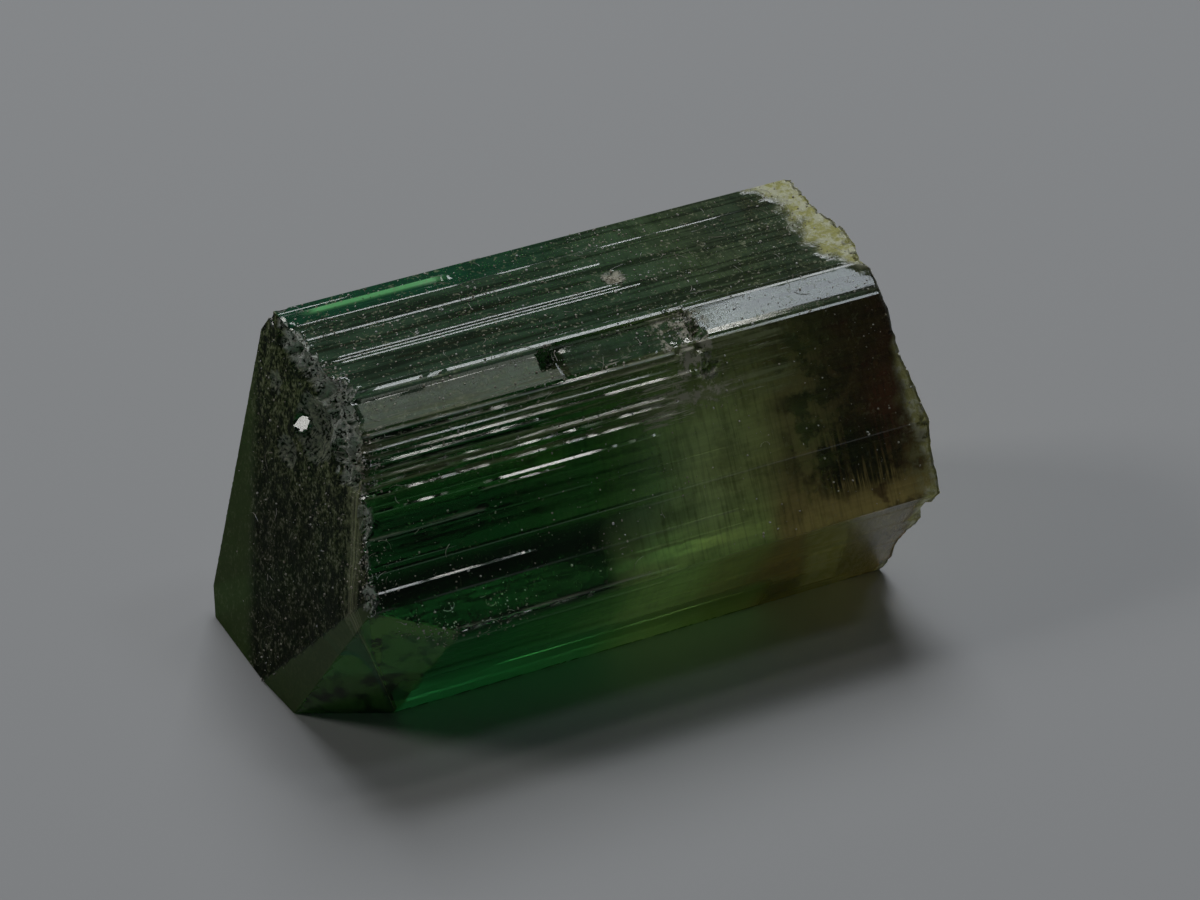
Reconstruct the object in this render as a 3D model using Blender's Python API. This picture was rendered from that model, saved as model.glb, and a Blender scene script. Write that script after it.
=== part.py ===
"""Single tourmaline crystal lying on one of its long prism faces.

The crystal axis runs along X, the frosted natural end points to -X and the
broken end to +X.  Z is up.  The origin is on the table, under the middle of
the crystal.  All sizes are in metres.
"""
import random
from math import cos, radians, sin

import bmesh
import bpy
from mathutils import Matrix, Vector, noise

MM = 0.001

# Prism outline.  A walk round the crystal that starts at the lower front
# corner.  An angle gives the way a face looks: 0 front, 90 up, 180 back.
LOWER_FRONT_CORNER_Y = -2.21 * MM
LOWER_FRONT_ANGLE = -30.0
LOWER_FRONT_WIDTH = 5.27 * MM
FRONT_ANGLE = 30.0
FRONT_WIDTH = 6.25 * MM
NARROW_ANGLE = 60.0
NARROW_WIDTH = 1.10 * MM
TOP_ANGLE = 90.0
TOP_WIDTH = 5.04 * MM
UPPER_BACK_ANGLE = 150.0
UPPER_BACK_WIDTH = 1.00 * MM
BACK_ANGLE = 180.0
LOWER_BACK_ANGLE = 210.0
LOWER_BACK_HEIGHT = 0.80 * MM
BOTTOM_ANGLE = 270.0

# Length of the rough bar before its two ends are cut.
BAR_HALF_LENGTH = 11.5 * MM
# Where growth ridges may start and stop along the axis.
STATIONS = [x * MM for x in (-7.4, -5.2, -3.0, -1.4, 0.2, 2.1, 3.1, 5.4, 7.3)]
STATION_SPREAD = 0.35 * MM
RIDGE_END = 0.09 * MM
# The outer growth layer stops at a ledge two thirds of the way along.
LEDGE_STATION = 6
LAYER_HEIGHT = 0.11 * MM
LAYER_FRONT_START = 5.25 * MM
LAYER_TOP_END = 0.30 * MM

# Fine growth ridges between the main ones.
FINE_MARGIN = 0.22 * MM
FINE_NARROWEST = 0.13 * MM
FINE_WIDEST = 0.30 * MM
FINE_LOWEST = 0.014 * MM
FINE_HIGHEST = 0.040 * MM
FINE_GAP = 0.03 * MM
FINE_SPACING = 0.32 * MM
FINE_SEED = 40
FINE_CHANCE = {0: 0.55, 1: 0.80, 2: 0.0, 3: 0.90, 4: 0.90, 5: 0.75, 6: 0.0, 7: 0.0}

# Natural end.  Each face is a point on it and the way it looks.
END_FACE_POINT = Vector((-9.80, 0.0, 0.0)) * MM
END_FACE_NORMAL = Vector((-1.0, -0.047, 0.225))
CORNER_FACE_POINT = Vector((-5.88, -4.80, 4.48)) * MM
CORNER_FACE_NORMAL = Vector((-0.388, -0.834, -0.392))
WEDGE_FACE_POINT = Vector((-9.45, -0.37, 1.46)) * MM
WEDGE_FACE_NORMAL = Vector((-0.980, -0.143, 0.141))

# Broken end.
BREAK_X = 9.18 * MM
BREAK_BULGE = 0.72 * MM
BREAK_BULGE_CENTRE = (-4.6 * MM, 5.4 * MM)
BREAK_BULGE_SPREAD = 2.7 * MM
BREAK_ROUGHNESS = 0.26 * MM
BREAK_GRAIN = 2.1 * MM
BREAK_CELLS = 44
BREAK_BLOCK = 16.0 * MM
BREAK_BLOCK_DEPTH = 6.0 * MM
BREAK_MIDDLE_Z = 5.0 * MM
BREAK_FINE_SHARE = 0.35
BREAK_FINE_GRAIN = 0.9 * MM

# Chips: name, centre and half size in millimetres, turn about X in degrees.
CHIP_SUBDIVISIONS = 3
CHIP_ROUGHNESS = 0.22
CHIP_GRAIN = 2.3
CHIP_SEED_STEP = 3.7
CHIPS = [
    ("chip_top_edge", (-8.05, 2.60, 10.75), (0.75, 1.35, 0.55), 0.0),
    ("chip_top_corner", (-8.00, 5.00, 10.70), (0.80, 0.85, 1.10), 20.0),
    ("chip_corner", (-7.75, -0.35, 10.75), (0.80, 0.95, 0.70), -40.0),
    ("chip_shoulder", (-8.15, -2.05, 9.85), (0.60, 0.72, 0.95), -30.0),
    ("chip_end_face", (-8.20, 0.70, 8.80), (0.75, 1.25, 1.15), 10.0),
    ("chip_end_low", (-8.50, 1.95, 7.30), (0.45, 0.70, 0.55), 0.0),
    ("chip_end_small", (-8.40, 3.30, 8.80), (0.50, 0.55, 0.60), 0.0),
    ("chip_front_edge", (-7.95, -2.95, 8.05), (0.32, 0.45, 0.70), -30.0),
    ("chip_front_low", (-8.20, -3.60, 7.10), (0.28, 0.35, 0.45), -30.0),
    ("chip_junction", (-8.35, -4.15, 6.15), (0.38, 0.45, 0.50), -20.0),
    ("chip_front", (1.95, -4.05, 8.40), (1.25, 0.75, 1.05), -30.0),
    ("chip_top_pit", (2.05, 1.62, 10.82), (0.42, 0.45, 0.42), 0.0),
    ("chip_break_front", (9.70, -4.85, 3.30), (0.55, 0.95, 0.85), 0.0),
    ("chip_break_top", (9.45, -0.60, 10.90), (0.60, 1.10, 0.60), 0.0),
    ("chip_break_back", (9.50, 4.90, 10.40), (0.70, 0.80, 0.90), 0.0),
]
NOTCH_SIZE = Vector((0.42, 0.50, 0.62)) * MM
NOTCH_CENTRE = Vector((-1.42, -1.16, 10.36)) * MM

CRYSTAL_COLOUR = (0.012, 0.085, 0.035, 1.0)


def clear_scene():
    for item in list(bpy.data.objects):
        bpy.data.objects.remove(item, do_unlink=True)


def face_normal(angle):
    """Outward direction (y, z) of a prism face."""
    return Vector((-cos(radians(angle)), sin(radians(angle))))


def walk_direction(angle):
    """Direction (y, z) in which the outline runs along a face."""
    return Vector((sin(radians(angle)), cos(radians(angle))))


def prism_faces():
    """List of (start corner, walk direction, normal, width) per face."""
    fixed = [
        (LOWER_FRONT_ANGLE, LOWER_FRONT_WIDTH),
        (FRONT_ANGLE, FRONT_WIDTH),
        (NARROW_ANGLE, NARROW_WIDTH),
        (TOP_ANGLE, TOP_WIDTH),
        (UPPER_BACK_ANGLE, UPPER_BACK_WIDTH),
    ]
    corner = Vector((LOWER_FRONT_CORNER_Y, 0.0))
    faces = []
    for angle, width in fixed:
        faces.append((corner, walk_direction(angle), face_normal(angle), width))
        corner = corner + walk_direction(angle) * width
    back_width = corner.y - LOWER_BACK_HEIGHT
    faces.append((corner, walk_direction(BACK_ANGLE), face_normal(BACK_ANGLE), back_width))
    corner = corner + walk_direction(BACK_ANGLE) * back_width
    down = walk_direction(LOWER_BACK_ANGLE)
    bevel_width = LOWER_BACK_HEIGHT / -down.y
    faces.append((corner, down, face_normal(LOWER_BACK_ANGLE), bevel_width))
    corner = corner + down * bevel_width
    bottom_width = corner.x - LOWER_FRONT_CORNER_Y
    faces.append((corner, walk_direction(BOTTOM_ANGLE), face_normal(BOTTOM_ANGLE), bottom_width))
    return faces


def ridge(middle, width, height, first, last, skew=0.35):
    """Growth ridge on a face: sizes in millimetres, first and last station."""
    return {
        "low": (middle - width * skew) * MM,
        "crest": middle * MM,
        "high": (middle + width * (1.0 - skew)) * MM,
        "height": height * MM,
        "first": first,
        "last": last,
    }


def main_ridges():
    """The ridges that stand out, by face; -1 is the natural end, 9 the break."""
    front = [
        ridge(1.69, 0.16, 0.035, -1, 2),
        ridge(3.25, 0.50, 0.030, -1, 3),
        ridge(4.94, 0.22, 0.035, -1, 5),
        ridge(5.22, 0.18, 0.050, -1, 5),
        ridge(5.46, 0.16, 0.045, -1, 6),
        ridge(5.72, 0.18, 0.060, -1, 6),
        ridge(5.96, 0.16, 0.055, -1, 4),
    ]
    top = [
        ridge(1.30, 0.30, -0.080, 0, 3),
        ridge(1.84, 0.14, 0.060, -1, 3),
        ridge(2.02, 0.14, 0.055, -1, 4),
        ridge(2.20, 0.16, 0.065, -1, 4),
        ridge(2.92, 0.16, 0.050, -1, 0),
        ridge(3.20, 0.26, 0.080, -1, 5),
        ridge(4.02, 0.30, 0.050, -1, 9),
        ridge(4.60, 0.34, 0.070, -1, 3),
    ]
    narrow = [
        ridge(0.20, 0.22, 0.030, 6, 9),
        ridge(1.00, 0.12, 0.060, -1, 6),
    ]
    return {1: front, 2: narrow, 3: top}


def fine_ridges(face_index, width, taken, chance, seed_value):
    """Fill the free parts of a face with smaller ridges."""
    rng = random.Random(seed_value + face_index)
    found = []
    place = FINE_MARGIN
    while place < width - FINE_MARGIN - FINE_WIDEST:
        size = rng.uniform(FINE_NARROWEST, FINE_WIDEST)
        clear = all(
            place + size < item["low"] - FINE_GAP or place > item["high"] + FINE_GAP
            for item in taken
        )
        first = rng.choice((-1, -1, -1, 0, 2, 4, 6))
        last = rng.choice((9, 9, 6, 6, 5, 3, 8))
        height = rng.uniform(FINE_LOWEST, FINE_HIGHEST) * rng.choice((1.0, 1.0, -0.8))
        skew = rng.choice((0.25, 0.72))
        if clear and rng.random() < chance and last > first:
            middle = (place + size * skew) / MM
            found.append(ridge(middle, size / MM, height / MM, first, last, skew))
        place += size + rng.uniform(FINE_GAP, FINE_SPACING)
    return found


def layer_weight(face_index, along):
    """1 where the outer growth layer covers the outline, else 0."""
    if face_index == 1 and along >= LAYER_FRONT_START:
        return 1.0
    if face_index == 2:
        return 1.0
    if face_index == 3 and along <= LAYER_TOP_END:
        return 1.0
    return 0.0


def outline_points():
    """Outline points with the ridge that lifts each of them."""
    faces = prism_faces()
    main = main_ridges()
    points = []
    for index, (corner, walk, normal, width) in enumerate(faces):
        before = faces[index - 1][2]
        joined = (before + normal).normalized()
        mitre = joined / joined.dot(normal)
        points.append((corner, mitre, 0.0, None, layer_weight(index, 0.0)))
        ridges = list(main.get(index, []))
        ridges += fine_ridges(index, width, ridges, FINE_CHANCE[index], FINE_SEED)
        stops = []
        for item in ridges:
            stops.append((item["low"], 0.0, item))
            stops.append((item["crest"], item["height"], item))
            stops.append((item["high"], 0.0, item))
        if index == 1:
            stops.append((LAYER_FRONT_START - 0.04 * MM, 0.0, None))
            stops.append((LAYER_FRONT_START, 0.0, None))
        if index == 3:
            stops.append((LAYER_TOP_END, 0.0, None))
            stops.append((LAYER_TOP_END + 0.04 * MM, 0.0, None))
        stops.sort(key=lambda stop: stop[0])
        last_along = 0.0
        for along, height, item in stops:
            if along - last_along < 0.02 * MM or width - along < 0.02 * MM:
                continue
            last_along = along
            place = corner + walk * along
            points.append((place, normal, height, item, layer_weight(index, along)))
    return points


def station_positions(points):
    """Axial place of every station for every outline point."""
    rng = random.Random(7)
    shifts = {}
    columns = []
    for place, normal, height, item, layer in points:
        key = id(item)
        if key not in shifts or item is None:
            shifts[key] = [rng.uniform(-1.0, 1.0) * STATION_SPREAD for _ in STATIONS]
        columns.append([x + shift for x, shift in zip(STATIONS, shifts[key])])
    return columns


def lift(point, station, after):
    """Height of an outline point just before or just after a station."""
    place, normal, height, item, layer = point
    section = station + 1 if after else station
    amount = 0.0
    if item is not None and item["first"] < section <= item["last"]:
        amount = height
    if section <= LEDGE_STATION:
        amount += layer * LAYER_HEIGHT
    return amount


def build_bar():
    """Ridged prism, longer than the crystal at both ends."""
    points = outline_points()
    columns = station_positions(points)
    bm = bmesh.new()
    rings = []

    def add_ring(axial, heights):
        ring = []
        for point, x, amount in zip(points, axial, heights):
            place = point[0] + point[1] * amount
            ring.append(bm.verts.new((x, place.x, place.y)))
        rings.append(ring)

    add_ring([-BAR_HALF_LENGTH] * len(points), [lift(p, 0, False) for p in points])
    for station in range(len(STATIONS)):
        before = [column[station] - RIDGE_END for column in columns]
        behind = [column[station] + RIDGE_END for column in columns]
        add_ring(before, [lift(p, station, False) for p in points])
        add_ring(behind, [lift(p, station, True) for p in points])
    add_ring([BAR_HALF_LENGTH] * len(points), [lift(p, len(STATIONS), False) for p in points])
    count = len(points)
    for first, second in zip(rings, rings[1:]):
        for i in range(count):
            j = (i + 1) % count
            bm.faces.new((first[i], first[j], second[j], second[i]))
    bm.faces.new(rings[0])
    bm.faces.new(list(reversed(rings[-1])))
    bmesh.ops.recalc_face_normals(bm, faces=bm.faces)
    return bm


def cut_plane(bm, point, normal):
    """Cut the bar with a plane, drop the outer part and close the cut."""
    geometry = bm.verts[:] + bm.edges[:] + bm.faces[:]
    result = bmesh.ops.bisect_plane(
        bm, geom=geometry, plane_co=point, plane_no=normal, clear_outer=True, dist=1e-7
    )
    rim = [item for item in result["geom_cut"] if isinstance(item, bmesh.types.BMEdge)]
    bmesh.ops.edgeloop_fill(bm, edges=rim)


def mesh_object(name, bm):
    mesh = bpy.data.meshes.new(name)
    bm.to_mesh(mesh)
    bm.free()
    item = bpy.data.objects.new(name, mesh)
    bpy.context.scene.collection.objects.link(item)
    return item


def break_offset(y, z):
    """How far the broken face stands out at a place on the section."""
    dy = (y - BREAK_BULGE_CENTRE[0]) / BREAK_BULGE_SPREAD
    dz = (z - BREAK_BULGE_CENTRE[1]) / BREAK_BULGE_SPREAD
    bulge = BREAK_BULGE / (1.0 + dy * dy + dz * dz)
    rough = noise.noise(Vector((y, z, 0.3 * MM)) / BREAK_GRAIN)
    fine = noise.noise(Vector((y, z, 5.0 * MM)) / BREAK_FINE_GRAIN)
    return bulge + BREAK_ROUGHNESS * (rough + BREAK_FINE_SHARE * fine)


def break_cutter():
    """Block whose left side is the uneven broken face."""
    bm = bmesh.new()
    bmesh.ops.create_grid(bm, x_segments=BREAK_CELLS, y_segments=BREAK_CELLS, size=BREAK_BLOCK / 2)
    for vert in bm.verts:
        y = vert.co.x
        z = vert.co.y + BREAK_MIDDLE_Z
        vert.co = Vector((BREAK_X + break_offset(y, z), y, z))
    grown = bmesh.ops.extrude_face_region(bm, geom=bm.faces[:])
    far = [item for item in grown["geom"] if isinstance(item, bmesh.types.BMVert)]
    for vert in far:
        vert.co.x = BREAK_X + BREAK_BLOCK_DEPTH
    bmesh.ops.recalc_face_normals(bm, faces=bm.faces)
    return mesh_object("break_cutter", bm)


def chip_cutter(name, centre, size, turn, seed_value):
    """Uneven rounded lump that leaves a shell-shaped chip."""
    bm = bmesh.new()
    bmesh.ops.create_icosphere(bm, subdivisions=CHIP_SUBDIVISIONS, radius=1.0)
    for vert in bm.verts:
        direction = vert.co.normalized()
        bump = noise.noise(direction * CHIP_GRAIN + Vector((seed_value, 0.0, 0.0)))
        vert.co = direction * (1.0 + CHIP_ROUGHNESS * bump)
    bmesh.ops.scale(bm, verts=bm.verts, vec=Vector(size) * MM)
    bmesh.ops.rotate(bm, verts=bm.verts, matrix=Matrix.Rotation(radians(turn), 3, "X"))
    bmesh.ops.translate(bm, verts=bm.verts, vec=Vector(centre) * MM)
    return mesh_object(name, bm)


def notch_cutter():
    bm = bmesh.new()
    bmesh.ops.create_cube(bm, size=1.0)
    bmesh.ops.scale(bm, verts=bm.verts, vec=NOTCH_SIZE)
    bmesh.ops.rotate(bm, verts=bm.verts, matrix=Matrix.Rotation(radians(30.0), 3, "X"))
    bmesh.ops.translate(bm, verts=bm.verts, vec=NOTCH_CENTRE)
    return mesh_object("notch_cutter", bm)


def subtract(body, cutter):
    modifier = body.modifiers.new(cutter.name, "BOOLEAN")
    modifier.operation = "DIFFERENCE"
    modifier.solver = "EXACT"
    modifier.object = cutter
    cutter.hide_render = True
    cutter.display_type = "WIRE"


def crystal_material():
    material = bpy.data.materials.new("green_tourmaline")
    material.use_nodes = True
    shader = material.node_tree.nodes["Principled BSDF"]
    shader.inputs["Base Color"].default_value = CRYSTAL_COLOUR
    shader.inputs["Roughness"].default_value = 0.12
    shader.inputs["IOR"].default_value = 1.63
    shader.inputs["Transmission Weight"].default_value = 1.0
    return material


def build_crystal():
    bm = build_bar()
    cut_plane(bm, END_FACE_POINT, END_FACE_NORMAL)
    cut_plane(bm, CORNER_FACE_POINT, CORNER_FACE_NORMAL)
    cut_plane(bm, WEDGE_FACE_POINT, WEDGE_FACE_NORMAL)
    body = mesh_object("tourmaline_crystal", bm)
    body.data.materials.append(crystal_material())
    subtract(body, break_cutter())
    for seed_value, (name, centre, size, turn) in enumerate(CHIPS):
        subtract(body, chip_cutter(name, centre, size, turn, seed_value * CHIP_SEED_STEP))
    subtract(body, notch_cutter())
    return body


clear_scene()
build_crystal()
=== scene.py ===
import random
from math import cos, pi, radians, sin, sqrt

import bmesh
import bpy
from mathutils import Matrix, Vector, noise
from mathutils.bvhtree import BVHTree


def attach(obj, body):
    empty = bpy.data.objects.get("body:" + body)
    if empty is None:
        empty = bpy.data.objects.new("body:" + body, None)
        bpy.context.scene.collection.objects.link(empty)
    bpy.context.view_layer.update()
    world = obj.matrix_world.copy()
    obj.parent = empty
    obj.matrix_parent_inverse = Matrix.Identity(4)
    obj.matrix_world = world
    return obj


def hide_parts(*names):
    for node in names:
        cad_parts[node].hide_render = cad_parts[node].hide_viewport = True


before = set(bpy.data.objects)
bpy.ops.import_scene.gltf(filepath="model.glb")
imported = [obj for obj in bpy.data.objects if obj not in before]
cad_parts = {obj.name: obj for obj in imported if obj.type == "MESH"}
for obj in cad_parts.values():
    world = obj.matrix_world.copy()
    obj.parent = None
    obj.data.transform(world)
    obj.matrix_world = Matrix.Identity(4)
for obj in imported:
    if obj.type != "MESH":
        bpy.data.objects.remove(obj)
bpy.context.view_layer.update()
print("frame loaded")

mm = 0.001
tiny = 1e-5  # what lies nearer than this is taken as one place


class Field:
    # a socket that plus, minus and times work on

    def __init__(self, maker, socket):
        self.maker = maker
        self.socket = socket

    def math(self, operation, first, second=None):
        values = [first] if second is None else [first, second]
        inputs = dict(enumerate(values))
        return self.maker.add("ShaderNodeMath", {"operation": operation}, inputs)

    def __add__(self, other):
        return self.math("ADD", self, other)

    def __radd__(self, other):
        return self.math("ADD", other, self)

    def __sub__(self, other):
        return self.math("SUBTRACT", self, other)

    def __rsub__(self, other):
        return self.math("SUBTRACT", other, self)

    def __mul__(self, other):
        return self.math("MULTIPLY", self, other)

    def __rmul__(self, other):
        return self.math("MULTIPLY", other, self)

    def __abs__(self):
        return self.math("ABSOLUTE", self)

    def most(self, other):
        return self.math("MAXIMUM", self, other)

    def least(self, other):
        return self.math("MINIMUM", self, other)


class MaterialMaker:
    # one material and the nodes in it

    def __init__(self, name):
        self.material = bpy.data.materials.new(name)
        self.material.use_nodes = True
        self.tree = self.material.node_tree
        self.tree.nodes.clear()

    def add(self, kind, settings=None, inputs=None, output=0):
        node = self.tree.nodes.new(kind)
        for key, value in (settings or {}).items():
            if key == "stops":
                stops = node.color_ramp.elements
                while len(stops) < len(value):
                    stops.new(1.0)
                for stop, (place, colour) in zip(stops, value):
                    stop.position = place
                    stop.color = colour
            else:
                setattr(node, key, value)
        for key, value in (inputs or {}).items():
            if isinstance(value, Field):
                self.tree.links.new(value.socket, node.inputs[key])
            else:
                node.inputs[key].default_value = value
        return Field(self, node.outputs[output])

    def coordinates(self):
        # place on the piece in millimetres
        place = self.add("ShaderNodeTexCoord", output=3)
        settings = {"operation": "SCALE"}
        return self.add("ShaderNodeVectorMath", settings, {0: place, 3: 1.0 / mm})

    def split(self, vector):
        return [self.add("ShaderNodeSeparateXYZ", None, {0: vector}, axis) for axis in range(3)]

    def join(self, x, y, z):
        return self.add("ShaderNodeCombineXYZ", None, {0: x, 1: y, 2: z})

    def attribute(self, name):
        return self.add("ShaderNodeAttribute", {"attribute_name": name}, None, 2)

    def noise(self, vector, scale, detail=3.0, roughness=0.55):
        inputs = {"Vector": vector, "Scale": scale, "Detail": detail, "Roughness": roughness}
        return self.add("ShaderNodeTexNoise", None, inputs, "Fac")

    def above(self, value, low, high):
        # 0 below low and 1 above high, smooth between them
        inputs = {"Value": value, "From Min": low, "From Max": high}
        settings = {"interpolation_type": "SMOOTHSTEP"}
        return self.add("ShaderNodeMapRange", settings, inputs)

    def below(self, value, low, high):
        return 1.0 - self.above(value, low, high)

    def within(self, value, start, end, soft):
        # 1 from start to end and 0 outside, over a soft border
        return self.above(value, start - soft, start) * self.below(value, end, end + soft)

    def patch(self, measures, share, *ranges):
        # a share times the product of soft ranges
        sides = {"above": self.above, "below": self.below, "within": self.within}
        mask = None
        for measure, side, *limits in ranges:
            part = sides[side](measures[measure], *limits)
            mask = mask * part if mask else part
        return mask * share if share < 1.0 else mask

    def ramp(self, value, stops):
        return self.add("ShaderNodeValToRGB", {"stops": stops}, {0: value})

    def mixColour(self, mask, first, second):
        inputs = {0: mask, 6: first, 7: second}
        return self.add("ShaderNodeMix", {"data_type": "RGBA"}, inputs, 2)

    def bump(self, height, distance, strength=1.0):
        inputs = {"Height": height, "Distance": distance, "Strength": strength}
        return self.add("ShaderNodeBump", None, inputs)

    def mixShader(self, mask, first, second):
        return self.add("ShaderNodeMixShader", None, {0: mask, 1: first, 2: second})

    def finish(self, surface, volume=None):
        inputs = {"Surface": surface}
        if volume:
            inputs["Volume"] = volume
        node = self.tree.nodes.new("ShaderNodeOutputMaterial")
        for key, value in inputs.items():
            self.tree.links.new(value.socket, node.inputs[key])
        return self.material


# the prism: sizes in millimetres, angles in degrees, 0 to the front, 90 up, 180 to the back
prism = {
    "lowerFrontCornerY": -2.21,
    "faces": [
        ("lowerFront", -30.0, 5.27),
        ("front", 30.0, 6.25),
        ("narrow", 60.0, 1.10),
        ("top", 90.0, 5.04),
        ("upperBack", 150.0, 1.00),
    ],
    # the faces that close the outline: back, lower back, bottom
    "closingAngles": (180.0, 210.0, 270.0),
    "lowerBackHeight": 0.80,
    "breakX": 9.18,
    # the shallow hollow in the narrow face: from x, to x, depth
    "narrowDip": (-1.1, 3.1, 0.085),
    # from, to and spacing of the rings round the crystal
    "ringSpans": [
        (-10.6, -6.9, 0.13),
        (-6.9, -1.9, 0.28),
        (-1.9, -0.9, 0.10),
        (-0.9, 0.6, 0.25),
        (0.6, 3.8, 0.09),
        (3.8, 8.0, 0.26),
        (8.0, 9.18, 0.08),
    ],
    "widestColumn": 0.22,
    "narrowestColumn": 0.012,
    # the outer growth layer, which stops at the ledge
    "layerHeight": 0.11,
    "layerFrontStart": 5.25,
    "layerTopEnd": 0.30,
    "layerSlope": 0.04,
    "ledgeX": 3.1,
    "ledgeWander": 0.25,
    "ledgeGrain": 2.5,
    # noise per millimetre along and across, and how strong it is
    "waves": (0.35, 0.9, 0.008),
    "ridgeWear": (0.9, 9.0, 3.0),
    "ridgeWander": (0.5, 9.0, 0.25),
    "ridgeTaper": 0.25,
    "noiseStep": 7.0,
    "seed": 40,
}

# painted highlights, pale dusty dashes and dark lines on some crests: how they fade at the ends, wear,
# and what is left at least
paintedLines = {
    "taper": 0.3,
    "wear": (0.8, 7.0, 8.0),
    "worn": (-0.45, -0.05),
    "least": 0.35,
}

# growth ridges: middle, width, height, from x, to x, share of the width below the crest,
# how broken up the line is, and for some how it looks and how strongly
mainRidges = {
    "lowerFront": [
        (0.75, 0.20, 0.030, -9.0, 2.0, 0.35, 0.0),
        (1.60, 0.16, -0.025, -4.0, 6.5, 0.35, 0.0),
        (3.10, 0.22, 0.025, -2.5, 8.0, 0.35, 0.0),
        (4.55, 0.14, 0.030, -8.0, 1.0, 0.35, 0.0),
    ],
    "front": [
        (0.10, 0.14, 0.012, -8.0, 1.2, 0.35, 0.3, "dashed", 0.8),
        (1.69, 0.08, 0.045, -8.3, -3.0, 0.35, 0.0, "bright", 0.7),
        (2.45, 0.08, 0.020, -7.8, -5.4, 0.35, 0.2),
        (3.25, 0.16, 0.030, -8.2, -4.2, 0.35, 0.2, "dashed", 0.7),
        (3.80, 0.08, 0.040, -4.4, -1.5, 0.35, 0.8, "dashed", 1.0),
        (3.95, 0.10, 0.048, -8.2, 1.5, 0.35, 0.6),
        (4.42, 0.10, 0.055, -7.9, 2.3, 0.35, 0.5),
        (4.72, 0.10, 0.055, -8.2, 2.4, 0.35, 0.4),
        (4.92, 0.12, 0.060, -8.2, 2.1, 0.35, 0.15, "dashed", 0.7),
        (5.11, 0.16, 0.050, -7.2, -2.3, 0.35, 0.25, "dashed", 1.0),
        (5.30, 0.12, 0.060, -8.0, -1.8, 0.35, 0.1, "bright", 0.5),
        (5.48, 0.10, 0.050, -8.2, 3.1, 0.35, 0.1, "dashed", 0.6),
        (5.70, 0.09, 0.056, -7.6, 2.2, 0.35, 0.1, "bright", 0.7),
        (5.94, 0.13, 0.060, -8.2, 2.6, 0.35, 0.3, "dashed", 0.8),
        (6.13, 0.12, 0.055, -7.6, 3.1, 0.35, 0.1, "bright", 0.8),
    ],
    "narrow": [
        (0.08, 0.13, 0.050, -7.6, -1.5, 0.35, 0.0, "bright", 1.2),
        (0.16, 0.24, 0.022, 3.2, 9.6, 0.35, 0.0),
        (1.00, 0.12, 0.060, -8.2, 3.3, 0.35, 0.0),
    ],
    "top": [
        (0.08, 0.13, 0.016, -7.6, 9.0, 0.60, 0.0, "bright", 0.5),
        (0.26, 0.07, 0.004, -8.2, 8.6, 0.65, 0.3, "bright", 0.4),
        (0.70, 0.36, -0.003, -7.8, 3.0, 0.50, 0.2, "dark", 0.7),
        (1.34, 0.50, -0.003, -5.6, -0.2, 0.60, 0.0, "dark", 1.0),
        (1.80, 0.09, 0.009, -7.0, 2.8, 0.50, 0.0, "bright", 0.70),
        (1.94, 0.08, 0.008, -7.2, 2.2, 0.50, 0.0, "bright", 0.60),
        (2.09, 0.09, 0.009, -7.0, 2.4, 0.50, 0.0, "bright", 0.75),
        (2.58, 0.50, -0.003, -7.6, 1.5, 0.50, 0.0, "dark", 1.0),
        (2.97, 0.10, 0.014, -7.9, -7.1, 0.50, 0.0, "bright", 1.0),
        (3.27, 0.12, 0.012, -7.9, 2.2, 0.50, 0.1, "bright", 0.60),
        (4.05, 0.08, 0.006, -8.2, 7.8, 0.50, 0.5, "bright", 0.45),
        (4.55, 0.34, 0.080, -8.2, -2.2, 0.45, 0.0),
    ],
}

# small ridges between them
fineRidges = {
    # chance, lowest and highest height
    "faces": {
        "lowerFront": (0.75, 0.003, 0.012),
        "front": (0.92, 0.002, 0.016),
        "narrow": (0.50, 0.002, 0.006),
        "top": (0.92, 0.001, 0.005),
        "upperBack": (0.90, 0.004, 0.020),
        "back": (0.90, 0.004, 0.024),
        "lowerBack": (0.50, 0.003, 0.010),
        "bottom": (0.40, 0.002, 0.004),
    },
    "firstPlace": 0.06,
    "lastGap": 0.20,
    "widths": (0.06, 0.20),
    "spacing": (0.0, 0.10),
    "beyondEnds": 12.0,
    "starts": (-9.0, 6.0),
    "stops": (-6.0, 9.0),
    "shortest": 0.8,
    "signs": (1.0, 1.0, -0.7),
    "skews": (0.2, 0.35, 0.7),
}


def clamp01(value):
    return max(0.0, min(1.0, value))


def share01(value, low, high):
    return clamp01((value - low) / (high - low))


def ramp01(value, low, high):
    share = share01(value, low, high)
    return share * share * (3.0 - 2.0 * share)


def fadeOut(value, low, high):
    # 1 below low and 0 above high
    return ramp01(-value, -high, -low)


def faceNormal(angle):
    return Vector((-cos(radians(angle)), sin(radians(angle))))


def walkDirection(angle):
    return Vector((sin(radians(angle)), cos(radians(angle))))


def prismFaces():
    # name, start corner, walk direction, normal and width of each face
    corner = Vector((prism["lowerFrontCornerY"], 0.0))
    faces = []

    def addFace(name, angle, width):
        nonlocal corner
        faces.append((name, corner, walkDirection(angle), faceNormal(angle), width))
        corner = corner + walkDirection(angle) * width

    for name, angle, width in prism["faces"]:
        addFace(name, angle, width)
    back, lowerBack, bottom = prism["closingAngles"]
    addFace("back", back, corner.y - prism["lowerBackHeight"])
    addFace("lowerBack", lowerBack, prism["lowerBackHeight"] / -walkDirection(lowerBack).y)
    addFace("bottom", bottom, corner.x - prism["lowerFrontCornerY"])
    return faces


def makeRidge(middle, width, height, start, end, skew, gaps, look=None, strength=0.0):
    return {
        "look": look,
        "strength": strength,
        "low": middle - width * skew,
        "crest": middle,
        "high": middle + width * (1.0 - skew),
        "height": height,
        "start": start,
        "end": end,
        "gaps": gaps,
    }


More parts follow.
